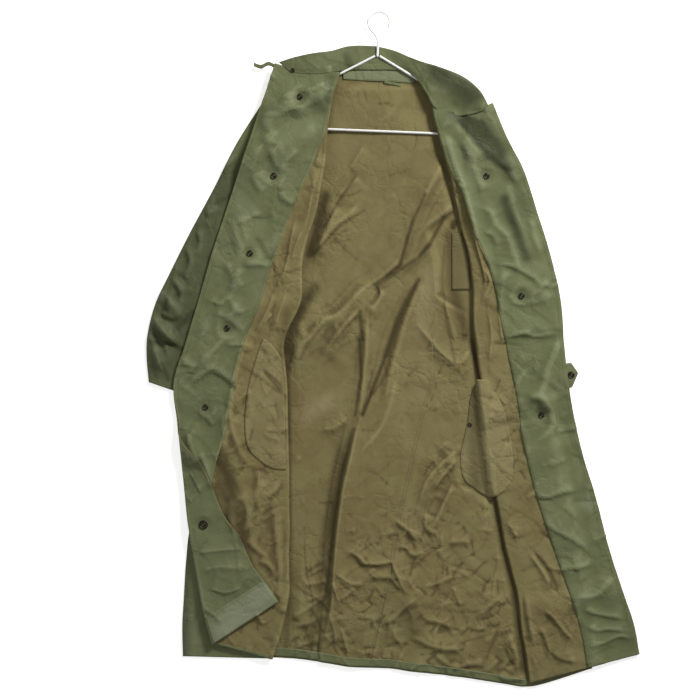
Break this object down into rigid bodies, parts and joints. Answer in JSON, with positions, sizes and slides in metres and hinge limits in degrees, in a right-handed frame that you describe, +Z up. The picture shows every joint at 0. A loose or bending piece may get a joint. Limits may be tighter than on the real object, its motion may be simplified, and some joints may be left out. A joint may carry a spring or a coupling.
{
  "type": "open raincoat on wire hanger",
  "caption": "Long green coated raincoat laid open on its back on a white wire hanger, brown cotton inside, fronts turned out",
  "frame": {"origin": "middle of the bounding box, at the height of the surface that the coat lies on", "axes": "+Y from the hem to the hanger's hook, +Z up off the surface, +X toward the wearer's left"},
  "size_m": [0.8868, 1.217, 0.0275],
  "materials": {
    "green_coated": "matt rubber-coated cotton, olive green, the coat's outside and its facings",
    "brown_cotton": "dull brown cotton, the inner face of the coated cloth",
    "tan_cotton": "plain tan cotton of the pocket bags",
    "stud_metal": "blackened press studs",
    "white_wire": "white coated wire"
  },
  "bodies": {
    "root": {"back": "brown_cotton", "front_right": "brown_cotton", "front_left": "brown_cotton", "facing_right": "green_coated", "facing_left": "green_coated", "sleeve_right": "green_coated", "sleeve_left": "green_coated", "collar": "green_coated", "neck_facing": "green_coated", "hang_loop": "green_coated", "collar_strap": "green_coated", "pocket_bag_right": "tan_cotton", "pocket_bag_left": "tan_cotton", "breast_pocket": "tan_cotton", "cuff_tab_left": "green_coated", "hanger_arm_right": "white_wire", "hanger_arm_left": "white_wire", "hanger_bar": "white_wire", "hanger_hook": "white_wire", "stud_right_1": "stud_metal", "stud_right_2": "stud_metal", "stud_right_3": "stud_metal", "stud_right_4": "stud_metal", "stud_right_5": "stud_metal", "stud_left_1": "stud_metal", "stud_left_2": "stud_metal", "stud_left_3": "stud_metal", "stud_flap": "stud_metal"}
  },
  "joints": []
}
